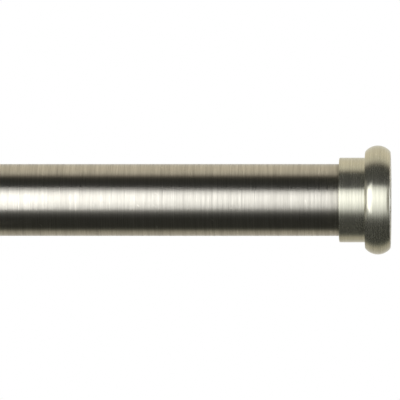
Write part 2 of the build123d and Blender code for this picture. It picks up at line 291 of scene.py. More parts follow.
def make_piece(name, shells, material, nodes, centre=(0, 0, 0), sharp=35):
    """One object from (vertices, faces) shells, closed, facing outwards, and riding where its nodes ride."""
    offsets = np.cumsum([0] + [len(v) for v, _ in shells])
    vertices = np.concatenate([v for v, _ in shells]) + np.asarray(centre)
    faces = np.concatenate([f + start for (_, f), start in zip(shells, offsets)])
    mesh = bpy.data.meshes.new(name)
    mesh.from_pydata(vertices, [], faces)
    tidy = bmesh.new()
    tidy.from_mesh(mesh)
    bmesh.ops.remove_doubles(tidy, verts=tidy.verts, dist=1e-7)
    bmesh.ops.dissolve_degenerate(tidy, edges=tidy.edges, dist=1e-8)
    bmesh.ops.recalc_face_normals(tidy, faces=tidy.faces)
    tidy.to_mesh(mesh)
    tidy.free()
    mesh.shade_smooth()
    mesh.set_sharp_from_angle(angle=radians(sharp))
    mesh.materials.append(material)
    piece = bpy.data.objects.new(name, mesh)
    bpy.context.collection.objects.link(piece)
    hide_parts(*nodes)
    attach(piece, BODY_OF[nodes[0]])
    return piece


# Materials


# Grains of noise per metre: clouds on plate, and nicks across and along the brush marks
CLOUD_GRAINS = 45.0
NICK_GRAINS = (900.0, 300.0)
BUMP_HEIGHT = 6e-6
# Least and greatest roughness of a brushed plate, as shares of its own
ROUGHNESS_SPREAD = (0.50, 1.45)
# Turn that lays a highlight across the tangent
ACROSS = 0.25


def add_node(tree, kind, inputs=None, **settings):
    """A shader node with its settings and the values of its inputs."""
    made = tree.nodes.new(kind)
    for key, value in settings.items():
        setattr(made, key, value)
    for key, value in (inputs or {}).items():
        if isinstance(value, bpy.types.NodeSocket):
            tree.links.new(value, made.inputs[key])
        else:
            made.inputs[key].default_value = value
    return made


def new_material(name):
    """A material with an empty node tree, and that tree."""
    material = bpy.data.materials.new(name)
    material.use_nodes = True
    tree = material.node_tree
    tree.nodes.clear()
    return material, tree


def finished(material, tree, inputs):
    """The material, once a principled shader with these inputs is joined to its output."""
    shader = add_node(tree, "ShaderNodeBsdfPrincipled", inputs)
    add_node(tree, "ShaderNodeOutputMaterial", {"Surface": shader.outputs["BSDF"]})
    return material


def object_noise(tree, scale, centre=(0, 0, 0), detail=2.0, roughness=0.5, lean=0.0):
    """Noise over the piece, from 0 to 1, with its own number of grains per metre on each axis.

    lean turns the noise's own axes about Y.
    """
    place = add_node(tree, "ShaderNodeTexCoord").outputs["Object"]
    if lean:
        turn = {"Vector": place, "Rotation": (0, lean, 0)}
        place = add_node(tree, "ShaderNodeMapping", turn).outputs["Vector"]
    shift = tuple(-c * s for c, s in zip(centre, scale))
    moved = add_node(tree, "ShaderNodeMapping", {"Vector": place, "Location": shift, "Scale": scale})
    grain = {"Vector": moved.outputs["Vector"], "Scale": 1.0, "Detail": detail, "Roughness": roughness}
    return add_node(tree, "ShaderNodeTexNoise", grain).outputs["Fac"]


def even_noise(tree, grains, detail=2.0):
    """Noise with the same number of grains per metre on every axis."""
    return object_noise(tree, (grains,) * 3, detail=detail)


def ranged(tree, value, low, high, from_low=0.25, from_high=0.75):
    """A value moved from one range into another."""
    ends = {"From Min": from_low, "From Max": from_high, "To Min": low, "To Max": high}
    return add_node(tree, "ShaderNodeMapRange", {"Value": value, **ends}).outputs["Result"]


def mixed(tree, factor, first, second):
    """Two colours mixed by a factor."""
    return add_node(tree, "ShaderNodeMix", {0: factor, 6: first, 7: second}, data_type="RGBA").outputs[2]


def shade(colour, factor):
    """A colour made lighter or darker, with full alpha."""
    return tuple(min(c * factor, 1) for c in colour) + (1.0,)


def bump_of(tree, height, strength, distance=BUMP_HEIGHT):
    """Normals of a fine relief."""
    inputs = {"Strength": strength, "Distance": distance, "Height": height}
    return add_node(tree, "ShaderNodeBump", inputs).outputs["Normal"]


def brushed_metal(
    name, colour, roughness, across, tangent_axis, centre=(0, 0, 0), turn=ACROSS, anisotropy=1.0, haze=0.0
):
    """Plated metal with brush marks; haze is the share of light that the plate scatters evenly.

    across is the axis along which the marks are narrow; along the other two they are long.
    """
    settings = bpy.context.scene.rod_finish
    material, tree = new_material(name)

    def scaled(narrow, long):
        return tuple(narrow if axis == across else long for axis in "XYZ")

    narrow, long = 1 / settings.streak_width, 1 / settings.streak_length
    scale = scaled(narrow, long)
    streak = object_noise(tree, scale, centre, detail=3.0, roughness=0.65)
    other_streak = object_noise(tree, tuple(1.13 * s for s in scale), centre, detail=3.0, roughness=0.65)
    band = object_noise(tree, scaled(narrow / 4, long / 2), centre)
    cloud = object_noise(tree, (CLOUD_GRAINS,) * 3, centre, detail=1.0)
    slanted = object_noise(tree, scale, centre, roughness=0.6, lean=settings.slant)
    nick = object_noise(tree, scaled(*NICK_GRAINS), centre, detail=1.0, lean=settings.nick_lean)
    contrast = settings.streak_contrast
    dark, light = shade(colour, 1 - contrast), shade(colour, 1 + contrast)
    fine = mixed(tree, ranged(tree, streak, 0, 1), dark, light)
    crossed = mixed(tree, ranged(tree, slanted, 0, 0.30, 0.55, 0.8), fine, dark)
    banded = mixed(tree, ranged(tree, band, 0, 0.35), crossed, dark)
    clouded = mixed(tree, ranged(tree, cloud, 0, 0.2), banded, shade(colour, 0.94))
    nicked = mixed(tree, ranged(tree, nick, 0, settings.nicks, 0.72, 0.80), clouded, shade(colour, 1.5))
    tangent = add_node(tree, "ShaderNodeTangent", direction_type="RADIAL", axis=tangent_axis)
    smoothest, roughest = (share * roughness for share in ROUGHNESS_SPREAD)
    return finished(material, tree, {
        "Base Color": nicked,
        "Metallic": 1.0 - haze,
        "Roughness": ranged(tree, other_streak, smoothest, roughest),
        "Anisotropic": anisotropy,
        "Anisotropic Rotation": turn,
        "Tangent": tangent.outputs["Tangent"],
        "Normal": bump_of(tree, streak, 1.0),
    })


def zinc_plate(name, colour):
    """Bright zinc with faint mottling from the bath."""
    material, tree = new_material(name)
    mottle = even_noise(tree, 900.0, detail=3.0)
    patch = even_noise(tree, 220.0)
    return finished(material, tree, {
        "Base Color": mixed(tree, ranged(tree, patch, 0, 1), shade(colour, 0.92), shade(colour, 1.05)),
        "Metallic": 1.0,
        "Roughness": ranged(tree, mottle, 0.24, 0.4),
        "Normal": bump_of(tree, mottle, 0.4),
    })


def moulded_nylon(name, colour, glow):
    """Moulded nylon with a fine spark-eroded grain; glow is how much light spreads inside it."""
    material, tree = new_material(name)
    grain = even_noise(tree, 3500.0)
    cloud = even_noise(tree, 150.0)
    return finished(material, tree, {
        "Base Color": mixed(tree, ranged(tree, cloud, 0, 1), shade(colour, 0.94), shade(colour, 1.04)),
        "Roughness": ranged(tree, grain, 0.42, 0.58),
        "Subsurface Weight": glow,
        "Subsurface Scale": 1.0 * MM,
        "Normal": bump_of(tree, grain, 0.5, 1e-5),
    })


def floor_paint(name):
    """Pale matte paint."""
    material, tree = new_material(name)
    cloud = ranged(tree, even_noise(tree, 3.0), 0, 1)
    tinted = mixed(tree, cloud, (0.80, 0.80, 0.79, 1), (0.83, 0.83, 0.82, 1))
    return finished(material, tree, {"Base Color": tinted, "Roughness": 0.8})


def finish_for(kind):
    """The material of a kind of piece, made the first time it is asked for."""
    if kind in bpy.data.materials:
        return bpy.data.materials[kind]
    settings = bpy.context.scene.rod_finish
    nickel, cast = tuple(settings.nickel), settings.casting_roughness
    cap_nickel = tuple(settings.cap_nickel)
    brushed = {
        "brushed_round_rod": (nickel, settings.tube_roughness, "X", "X", ROD_CENTRE),
        "satin_end_cap": (
            cap_nickel, settings.cap_roughness, "X", "X", ROD_CENTRE, ACROSS, 0.6, settings.cap_haze
        ),
        "satin_cup": (nickel, cast, "X", "X", ROD_CENTRE, ACROSS, 0.5),
        "satin_arm": (nickel, cast, "Y", "Y"),
        "satin_plate": (nickel, cast, "X", "Z", (0, 0, 0), 0.0),
        "satin_knob": (nickel, cast, "Z", "Z"),
    }
    if kind in brushed:
        return brushed_metal(kind, *brushed[kind])
    if kind == "zinc_screw":
        return zinc_plate(kind, tuple(settings.zinc))
    if kind == "white_nylon":
        return moulded_nylon(kind, tuple(settings.white_nylon), 0.15)
    if kind == "grey_nylon":
        return moulded_nylon(kind, tuple(settings.grey_nylon), 0.0)
    if kind == "pale_floor":
        return floor_paint(kind)
    raise ValueError(f"there is no finish called {kind}")


# Pieces

SCREW_SEGMENTS, SMALL_SEGMENTS = 64, 48
EDGE = 0.25 * MM


def millimetres(*corners):
    """Corners of an outline given in millimetres, in metres."""
    return [tuple(value * MM for value in corner) for corner in corners]


def away_from(angles, count, radius):
    """Distance round a piece to the nearest of some evenly spaced ribs or flutes."""
    offset = (angles * count / (2 * pi) + 0.5) % 1 - 0.5
    return np.abs(offset) * 2 * pi * radius / count


def dense(start, end, step):
    """Evenly spaced values from start to end, no further apart than step."""
    count = max(2, int(np.ceil(abs(end - start) / step)) + 1)
    return np.linspace(start, end, count)


def bracket_place(side):
    """Where a bracket's own drawing starts: on the wall, at the middle of its plate."""
    centre = middle(f"wall_plate_{side}")
    return np.array([centre[0], 0.0, centre[2]])


SEAM_HALF_WIDTH = 1.2 * MM
SEAM_DEPTH = 0.10 * MM
SEAM_SPREAD = 0.28 * MM
TUBE_EDGE = 0.15 * MM


def tube_shell(node, radius, bore, segments):
    """A tube with broken edges and, at the back, the shallow groove of its closed seam.

    The outline runs out along the outside, round the end's edge and back through the bore. At distance
    a round the tube from the seam, the outside is lower by depth times exp(-(a / spread) squared).
    """
    start, end = span(node, 0)
    half_way = (start + end) / 2
    near_seam = np.linspace(-SEAM_HALF_WIDTH, SEAM_HALF_WIDTH, 25) / radius
    rest = np.linspace(near_seam[-1], 2 * pi + near_seam[0], segments)[1:-1]
    angles = np.concatenate([near_seam, rest])
    away = (angles + pi) % (2 * pi) - pi
    groove = SEAM_DEPTH * np.exp(-((away * radius / SEAM_SPREAD) ** 2))

    def seam(outline):
        return (outline[:, 1:2] > (radius + bore) / 2) * groove[None, :]

    corners = [(half_way, radius), (end, radius, TUBE_EDGE), (end, bore, TUBE_EDGE), (half_way, bore)]
    corners += [(start, bore, TUBE_EDGE), (start, radius, TUBE_EDGE), (half_way, radius)]
    return turned_ring(corners, angles, 4, seam)


COLLAR_LENGTH, COLLAR_RADIUS = 9.1 * MM, 14.9 * MM
SOCKET_DEPTH, SOCKET_RADIUS = 9.5 * MM, 13.0 * MM
# Share of the rim's arc that is left between its two rounded shoulders
RIM_SHARE = 0.86


def cap_outline(settings):
    """Half section of an end cap: hollow and screw boss, collar, disc with a rounded rim, and end face.

    The rim is the arc (middle + curve sin a, radius - curve (1 - cos a)).
    """
    low, high = span("end_cap_right", 0)
    length = high - low
    half_disc = (length - COLLAR_LENGTH) / 2
    curve = settings.disc_rim_curve
    half_turn = np.arcsin(half_disc / curve)
    corner_radius = DISC_RADIUS - curve * (1 - np.cos(half_turn))
    sweep = np.linspace(-half_turn * RIM_SHARE, half_turn * RIM_SHARE, 41)
    place = COLLAR_LENGTH + half_disc + curve * np.sin(sweep)
    rim = np.stack([place, DISC_RADIUS - curve * (1 - np.cos(sweep))], axis=-1)
    hollow = millimetres((14.3, 0), (14.3, 2.0), (9.5, 2.0, 0.3), (9.5, 4.5, 0.3), (15.2, 4.5, 0.5))
    hollow += millimetres((15.2, 11.0, 1.0), (9.5, 11.0, 0.3))
    collar = [
        (SOCKET_DEPTH, SOCKET_RADIUS),
        (0, SOCKET_RADIUS, EDGE),
        (0, COLLAR_RADIUS, settings.collar_edge),
        (COLLAR_LENGTH, COLLAR_RADIUS, EDGE),
        (COLLAR_LENGTH, corner_radius, settings.disc_shoulder),
        tuple(rim[0]),
    ]
    end_face = [tuple(rim[-1]), (length, corner_radius, settings.disc_shoulder)]
    end_face += [(length, 8 * MM), (length, 0)]
    inside_and_collar = rounded(hollow + collar, steps=8)
    return np.concatenate([inside_and_collar[:-1], rim, rounded(end_face, steps=8)[1:]])


def towards_end(outline, side):
    """Moves an outline drawn from the collar's mouth to a cap's place, turned round at the left."""
    low, high = span(f"end_cap_{side}", 0)
    moved = outline.copy()
    moved[:, 0] = low + outline[:, 0] if side == "right" else high - outline[:, 0]
    return moved


RIB_COUNT = 8
RIB_DEPTH, RIB_WIDTH, RIB_SOFTNESS = 2.4 * MM, 1.8 * MM, 0.35 * MM
PLUG_START, FLANGE_FACE = -9.7 * MM, 8.3 * MM
PLUG_BORE, PLUG_SEAT = 2.0 * MM, PLUG_START + 3.2 * MM
FLANGE_RADIUS = 12.4 * MM
SLACK = 1e-6


def cap_plug_shell(side, bore):
    """A ribbed plug: a turned outline whose grip lies lower by the ribs' depth between the ribs.

    The relief is the ribs' depth times a square wave round the plug with softened sides, and it fades
    at the grip's nose so that the ribs have a lead-in.
    """
    reach = bore - 0.1 * MM
    corners = [
        (PLUG_SEAT, PLUG_BORE),
        (PLUG_SEAT, 3.9 * MM, EDGE),
        (PLUG_START, 3.9 * MM, EDGE),
        (PLUG_START, reach - 0.1 * MM, 0.8 * MM),
        (PLUG_START + 2 * MM, reach),
        (FLANGE_FACE - 0.4 * MM, reach),
        (FLANGE_FACE, reach),
        (FLANGE_FACE, FLANGE_RADIUS, EDGE),
        (SOCKET_DEPTH, FLANGE_RADIUS, EDGE),
        (SOCKET_DEPTH, PLUG_BORE, EDGE),
        (PLUG_SEAT, PLUG_BORE),
    ]
    outline = rounded(corners, steps=5)[:-1]
    angles = around(RIB_COUNT * 24)
    distance = away_from(angles, RIB_COUNT, reach)
    between_ribs = np.clip((distance - RIB_WIDTH / 2) / RIB_SOFTNESS, 0, 1)
    place, radius = outline.T
    on_grip = (radius > reach - 0.9 * MM) & (radius < reach + SLACK) & (place < FLANGE_FACE + SLACK)
    relief = RIB_DEPTH * on_grip[:, None] * between_ribs[None, :]
    points = turned(towards_end(outline, side), angles, "X", relief)
    return grid(points, wrap_rows=True, wrap_columns=True)


def bush_corners():
    """Corners of the three bushes, round each section from the middle of its bore.

    The mouth bush has a lip over the fat tube's edge, the glide bush a ring outside and a stem inside
    the thin tube, and the reducer makes the thin tube's end as fat as the other tube.
    """
    inside = TUBE_RADIUS - TUBE_WALL
    low, high = span("mouth_bush", 0)
    bore, lip = THIN_RADIUS + 0.1 * MM, low + 1.2 * MM
    mouth = [((low + high) / 2, bore), (low, bore, 0.35 * MM), (low, TUBE_RADIUS, 0.5 * MM)]
    mouth += [(lip, TUBE_RADIUS, 0.1 * MM), (lip, inside), (high, inside, 0.4 * MM), (high, bore, 0.2 * MM)]
    low, high = span("glide_bush", 0)
    bore, stem, ring = 9.0 * MM, THIN_RADIUS - TUBE_WALL, span("inner_tube", 0)[1]
    outside = inside - 0.1 * MM
    glide = [((low + high) / 2, bore), (low, bore, EDGE), (low, stem, 0.5 * MM), (ring, stem)]
    glide += [(ring, outside, 0.8 * MM), (high, outside, 0.8 * MM), (high, bore, 0.4 * MM)]
    low, high = span("reducer_sleeve", 0)
    reducer = [((low + high) / 2, THIN_RADIUS), (low, THIN_RADIUS, 0.1 * MM), (low, TUBE_RADIUS, 0.3 * MM)]
    reducer += [(high, TUBE_RADIUS, 0.5 * MM), (high, THIN_RADIUS, 0.1 * MM)]
    return {"mouth_bush": mouth, "glide_bush": glide, "reducer_sleeve": reducer}


def thread(outline, angles, pitch, depth, start, end, sharpness=1.0):
    """Relief of a thread on a turned outline: depth times 1 - tooth to a power.

    The tooth is a triangle wave of place / pitch - turn, and it runs out over one pitch at both ends.
    """
    place = outline[:, :1]
    phase = place / pitch - angles[None, :] / (2 * pi)
    tooth = (1 - np.abs(2 * (phase % 1) - 1)) ** sharpness
    inside = np.clip((place - start) / pitch, 0, 1) * np.clip((end - place) / pitch, 0, 1)
    return depth * inside * (1 - tooth)


RECESS_LENGTH, RECESS_WIDTH, RECESS_DEPTH = 4 * MM, 0.9 * MM, 1.2 * MM
RECESS_SOFTNESS = 0.12 * MM
CROWN_RINGS = 28


def cross_depth(across, up):
    """Depth of a cross-shaped driver recess: two slots at right angles, deepest in the middle."""

    def slot(a, b):
        inside = np.minimum(RECESS_LENGTH / 2 - np.abs(a), RECESS_WIDTH / 2 - np.abs(b))
        return np.clip(inside / RECESS_SOFTNESS, 0, 1)

    bowl = 1 - 0.45 * np.clip((across**2 + up**2) / (RECESS_LENGTH / 2) ** 2, 0, 1)
    return RECESS_DEPTH * bowl * np.maximum(slot(across, up), slot(up, across))


def recessed_screw(rear, head, top_radius, top, pitch, thread_depth, thread_span, axis, sharpness=1.0):
    """A screw turned from its rear outline, its head's outline and a top with a cross recess.

    Places are counted along the screw towards its top, which is a disc of rings from top_radius to 0.
    """
    angles = around(SCREW_SEGMENTS)
    rings = np.linspace(top_radius, 0, CROWN_RINGS)
    crown = np.stack([np.full(CROWN_RINGS, top), rings], axis=-1)
    outline = np.concatenate([rear, head, crown])
    relief = thread(outline, angles, pitch, thread_depth, *thread_span, sharpness)
    relief[len(rear):] = 0
    points = turned(outline, angles, "X", relief)
    cut = cross_depth(rings[:, None] * np.cos(angles), rings[:, None] * np.sin(angles))
    points[len(rear) + len(head):, :, 0] -= cut
    return grid(points @ AXES[axis], wrap_columns=True)


def wall_screw_shell():
    """Pan-head screw with a coarse thread and a pointed tip, drawn along -Y from the wall."""
    tip, shoulder, radius = -30 * MM, -26 * MM, 2.1 * MM
    point = dense(tip, shoulder, 0.15 * MM)
    cone = np.stack([point, radius * (point - tip) / (shoulder - tip)], axis=-1)
    body = straight(dense(shoulder, 0, 0.18 * MM)[1:], radius)
    neck = np.array(millimetres((0.1, 1.9), (4.0, 1.9)))
    head = rounded(millimetres((4.0, 1.9), (4.0, 4.0, 0.2), (5.2, 4.0, 0.9), (6.6, 2.9, 0.7), (6.6, 2.3)), 5)
    rear = np.concatenate([cone, body, neck])
    thread_span = (tip + 0.5 * MM, 0.0)
    return recessed_screw(rear, head[1:], 2.2 * MM, 6.6 * MM, 1.8 * MM, 0.6 * MM, thread_span, "Y", 1.6)


def sleeve_bolt_shell():
    """Countersunk bolt into the sleeve, with its flat head towards the wall."""
    tip, top = -15 * MM, -2.0 * MM
    body = straight(dense(tip, -4 * MM, 0.08 * MM), 2.0 * MM)
    rear = np.concatenate([[[tip, 0.0], [tip, 1.6 * MM]], body])
    head = rounded(millimetres((-4.0, 2.0), (-2.0, 4.0, 0.02), (-2.0, 2.4)), 4)[1:]
    thread_span = (tip, -4.2 * MM)
    return recessed_screw(rear, head, 2.3 * MM, top, 0.7 * MM, 0.35 * MM, thread_span, "into_wall")


def plug_screw_shell(side):
    """Pan-head screw from inside the plug into the cap's boss, with its head away from the cap."""
    tip, seat = -14 * MM, -PLUG_SEAT
    top = seat + 2.6 * MM
    body = straight(dense(tip, seat, 0.09 * MM), 2.0 * MM)
    rear = np.concatenate([[[tip, 0.0], [tip, 1.7 * MM]], body])
    head = [(seat, 2.0 * MM), (seat, 3.6 * MM, EDGE), (seat + 1.2 * MM, 3.6 * MM, 0.8 * MM)]
    head = rounded(head + [(top, 2.6 * MM, 0.6 * MM), (top, 2.2 * MM)], 5)[1:]
    vertices, faces = recessed_screw(rear, head, 2.1 * MM, top, 0.7 * MM, 0.3 * MM, (tip, seat), "X")
    low, high = span(f"end_cap_{side}", 0)
    vertices = vertices * (-1, 1, 1) + (low, 0, 0) if side == "right" else vertices + (high, 0, 0)
    return vertices, faces


# Wall plate: half of its straight sides, and how far from its middle the cells round its holes meet
PLATE_STRAIGHT = 26 * MM
# Height of one more row on each straight side, and of the wall screws
PLATE_ROW, SCREW_HEIGHT = 20 * MM, 28 * MM
CELL_EDGE = 14 * MM
CELL_STEPS = 29
ARC_STEPS = 49


def plate_frame():
    """Directions and centres of the plate's round-ended outline, counter-clockwise from its right side.

    The outline at distance r from the centre line is centre + r times direction.
    """
    sides = np.append(np.linspace(-CELL_EDGE, CELL_EDGE, CELL_STEPS), PLATE_ROW)
    arc = np.linspace(0, pi, ARC_STEPS)
    directions = np.concatenate([
        np.repeat([[1.0, 0.0]], CELL_STEPS + 1, axis=0),
        np.stack([np.cos(arc), np.sin(arc)], axis=-1),
        np.repeat([[-1.0, 0.0]], CELL_STEPS + 2, axis=0),
        np.stack([-np.cos(arc), -np.sin(arc)], axis=-1),
        [[1.0, 0.0]],
    ])
    heights = np.concatenate([
        sides,
        np.full(ARC_STEPS, PLATE_STRAIGHT),
        np.append(sides[::-1], -PLATE_ROW),
        np.full(ARC_STEPS, -PLATE_STRAIGHT),
        [-PLATE_ROW],
    ])
    return directions, np.stack([np.zeros(len(heights)), heights], axis=-1)


def plate_cells(outline):
    """Borders of the three cells that the plate's face is split into by lines across it."""
    right_top = CELL_STEPS - 1
    left_top = CELL_STEPS + ARC_STEPS + 2
    left_bottom = left_top + CELL_STEPS - 1
    right, top = outline[: right_top + 1], outline[right_top : left_top + 1]
    left, bottom = outline[left_top : left_bottom + 1], np.concatenate([outline[left_bottom:], outline[:1]])

    def line(start, end):
        return np.linspace(start, end, CELL_STEPS)[1:-1]

    return {
        "top": np.concatenate([top, line(top[-1], top[0])]),
        "middle": np.concatenate([right, line(right[-1], left[0]), left, line(left[-1], right[0])]),
        "bottom": np.concatenate([bottom, line(bottom[-1], bottom[0])]),
    }


def wall_plate_shell():
    """Round-ended plate: its edge's profile carried round the outline, and rings round each hole.

    In each cell, ring points lie on the lines from the hole's centre to the border's points.
    """
    directions, centres = plate_frame()
    edge = rounded(
        millimetres((12.8, 4.0), (14.0, 2.8, 0.5), (14.0, 0.0, 0.25), (11.5, 0.0, 0.25), (11.5, 2.0)), 6
    )
    front, back = edge[0], edge[-1]
    flat = centres[None] + edge[:, None, :1] * directions[None]
    rim = np.stack([flat[..., 0], np.broadcast_to(-edge[:, 1:], flat.shape[:2]), flat[..., 1]], axis=-1)
    shells = [grid(rim, wrap_columns=True)]
    screw_hole = millimetres((2.6, 4.0), (2.38, 3.92), (2.3, 3.7), (2.3, 2.1), (2.5, 2.0))
    sleeve_seat = rounded(
        millimetres((11.0, 4.0), (10.0, 4.0, 0.8), (10.0, 9.0, 0.6), (7.05, 9.0), (7.05, 8.0))
        + millimetres((2.1, 8.0), (2.1, 4.0), (4.1, 2.0)), 5
    )
    front_cells = plate_cells(centres + front[0] * directions)
    back_cells = plate_cells(centres + back[0] * directions)
    for name, hole, height in (
        ("top", screw_hole, SCREW_HEIGHT), ("middle", sleeve_seat, 0.0), ("bottom", screw_hole, -SCREW_HEIGHT)
    ):
        middle_point = np.array([0.0, height])
        border = front_cells[name] - middle_point
        unit = border / np.linalg.norm(border, axis=1, keepdims=True)
        profile = np.asarray(hole)
        circles = unit[None] * profile[:, None, :1]
        flat = np.concatenate([border[None], circles, (back_cells[name] - middle_point)[None]]) + middle_point
        depth = np.concatenate([front[1:], profile[:, 1], back[1:]])
        depth = np.broadcast_to(-depth[:, None], flat.shape[:2])
        shells.append(grid(np.stack([flat[..., 0], depth, flat[..., 1]], axis=-1), wrap_columns=True))
    return shells


def border_of(points, rows, columns):
    """The points on the border of a block of a grid, once round."""
    block = points[np.ix_(rows, columns)]
    return np.concatenate([block[0, :-1], block[:-1, -1], block[-1, :0:-1], block[:0:-1, 0]])


def rings_on(border, radius, angles, frame_of, surface, steps=4):
    """Rings that shrink from a border to a circle of a given radius, and keep to a surface."""
    origin, across, along, outward = frame_of
    start = np.stack([(border - origin) @ across, (border - origin) @ along], axis=-1)
    end = radius * np.stack([np.cos(angles), np.sin(angles)], axis=-1)
    rings = [border]
    for share in np.linspace(0, 1, steps + 1)[1:]:
        flat = start + (end - start) * share
        height = surface(flat[:, 0], flat[:, 1])
        rings.append(origin + flat[:, :1] * across + flat[:, 1:] * along + height[:, None] * outward)
    return rings


def circles_at(profile, angles, frame_of):
    """Circles of (radius, height) round an axis; a height may be a function of the place across it."""
    origin, across, along, outward = frame_of
    rings = []
    for radius, height in profile:
        a, b = radius * np.cos(angles), radius * np.sin(angles)
        rise = height(a, b) if callable(height) else np.full(len(angles), height)
        rings.append(origin + a[:, None] * across + b[:, None] * along + rise[:, None] * outward)
    return rings


def fillet_from(radius, fillet, surface, steps=4):
    """Circles of the hollow fillet between a surface and a boss of a given radius."""
    circles = []
    for turn in np.linspace(0, pi / 2, steps + 1)[1:]:
        lift = fillet * (1 - np.cos(turn))
        circles.append((
            radius + fillet * (1 - np.sin(turn)), lambda a, b, lift=lift: surface(a, b) + lift
        ))
    return circles


X_AXIS, Y_AXIS, Z_AXIS = np.eye(3)
LOCK_PLACE = 47 * MM
BOSS_EDGE = 0.3 * MM
# Radius and fillet of the tapped bosses
TAPPED_BOSS = (4.5 * MM, 0.6 * MM)
TAPPED_HOLE = 2.0 * MM


def boss_end(radius, height, hole):
    """Circles of a boss's broken outer edge, its end face and the edge of its hole."""
    return [
        (radius, height - BOSS_EDGE),
        (radius - 0.3 * BOSS_EDGE, height - 0.3 * BOSS_EDGE),
        (radius - BOSS_EDGE, height),
        (hole + BOSS_EDGE, height),
        (hole, height - BOSS_EDGE),
    ]


def boss_rings(border, turn, place, surface, radius, fillet, height, hole):
    """Rings from a border on a surface, up a boss and over its end to the edge of its hole."""
    rings = rings_on(border, radius + fillet, turn, place, surface)
    rings += circles_at(fillet_from(radius, fillet, surface), turn, place)
    return rings + circles_at(boss_end(radius, height, hole), turn, place)


SLEEVE_SEGMENTS = 96
# Rows of the window round the tapped boss, and its columns on each side of straight down
WINDOW_ROWS, WINDOW_HALF = 13, 14


def arm_sleeve_shell():
    """Sleeve turned about Y, with a window outside and in its bore that a tapped boss passes through."""
    radius, bore = 7.0 * MM, 5.1 * MM
    window = np.linspace(LOCK_PLACE - 5.8 * MM, LOCK_PLACE + 5.8 * MM, WINDOW_ROWS)
    rear = rounded(millimetres((15.3, 0), (15.3, 2.0), (8.0, 2.0), (8.0, 7.0), (30.0, 7.0)), 4)
    mouth = rounded(millimetres((53.2, 7.0), (54.0, 7.0, 0.6), (54.0, 5.1, 0.3), (53.4, 5.1)), 6)
    end = millimetres((16.0, 5.1), (16.0, 0))
    outline = np.concatenate([rear, straight(window, radius), mouth, straight(window[::-1], bore), end])
    points = turned(outline, around(SLEEVE_SEGMENTS), "Y")
    down = SLEEVE_SEGMENTS * 3 // 4
    columns = np.arange(down - WINDOW_HALF, down + WINDOW_HALF + 1)
    outer_rows = len(rear) + np.arange(WINDOW_ROWS)
    inner_rows = outer_rows[::-1] + WINDOW_ROWS + len(mouth)
    width = (columns[0], columns[-1])
    windows = [((outer_rows[0], outer_rows[-1]), width), ((inner_rows[-1], inner_rows[0]), width)]
    body = grid(points, wrap_columns=True, windows=windows)
    place = (np.array([0, -LOCK_PLACE, 0]), X_AXIS, -Y_AXIS, -Z_AXIS)
    outer_border = border_of(points, outer_rows, columns)
    inner_border = border_of(points, inner_rows, columns)
    offset = outer_border - place[0]
    turn = np.arctan2(offset @ place[2], offset @ place[1])

    def outer_surface(a, b):
        return np.sqrt(radius**2 - np.minimum(np.abs(a), radius) ** 2)

    def inner_surface(a, b):
        return np.sqrt(bore**2 - np.minimum(np.abs(a), bore) ** 2)

    rings = boss_rings(outer_border, turn, place, outer_surface, *TAPPED_BOSS, 11.0 * MM, TAPPED_HOLE)
    rings += rings_on(inner_border, TAPPED_HOLE, turn, place, inner_surface)[::-1]
    return [body, grid(np.stack(rings), wrap_columns=True)]


def arm_rod_shell():
    """Round arm with a broken rear edge, and a threaded stud that screws into the cup's boss."""
    angles = around(SCREW_SEGMENTS)
    stud = straight(dense(67.3 * MM, 73.6 * MM, 0.12 * MM), 3.0 * MM)
    arm = rounded(millimetres((17.0, 0), (17.0, 5.0, 0.7), (67.0, 5.0, 0.15), (67.0, 3.0), (67.2, 3.0)), 5)
    outline = np.concatenate([arm, stud, millimetres((74.0, 2.6), (74.0, 0))])
    relief = thread(outline, angles, 1.0 * MM, 0.5 * MM, 67.2 * MM, 73.8 * MM)
    relief[: len(arm)] = 0
    return turned_shell(outline, angles, "Y", relief)


CUP_INSIDE, CUP_OUTSIDE = 13.0 * MM, 16.2 * MM
CUP_HALF_WALL = (CUP_OUTSIDE - CUP_INSIDE) / 2
CUP_HALF_WIDTH = 7.0 * MM
CUP_EDGE = 0.6 * MM
# Heights of the rows on the cup's straight sides
CUP_SIDE = np.array([2.2, 4.4, 6.6, 7.4]) * MM
TIP_ROWS = 6
# Stretches of the round part from its front, as (start, end, steps) in degrees: the second has the
# tapped boss in it, and the fourth, with the side above it, the boss for the arm
CUP_ARC = ((0, 67.5, 15), (67.5, 112.5, 12), (112.5, 156, 9), (156, 180, 6))
FACE_COLUMNS, CORNER_STEPS = 15, 5


def cup_section():
    """Section across the cup's strip, as (across, out) points, with its outer face first.

    Both faces have the same places across, so that windows in them match.
    """
    flat = np.linspace(-CUP_HALF_WIDTH + CUP_EDGE, CUP_HALF_WIDTH - CUP_EDGE, FACE_COLUMNS)
    outer = straight(flat, CUP_HALF_WALL)
    turn = np.linspace(0, pi / 2, CORNER_STEPS + 1)[1:]
    corner = CUP_EDGE * np.stack([np.sin(turn), np.cos(turn)], axis=-1)
    upper = corner + (CUP_HALF_WIDTH - CUP_EDGE, CUP_HALF_WALL - CUP_EDGE)
    right = np.concatenate([upper, upper[::-1] * (1, -1)])
    return np.concatenate([outer, right, outer[::-1] * (1, -1), right[::-1] * (-1, 1)])


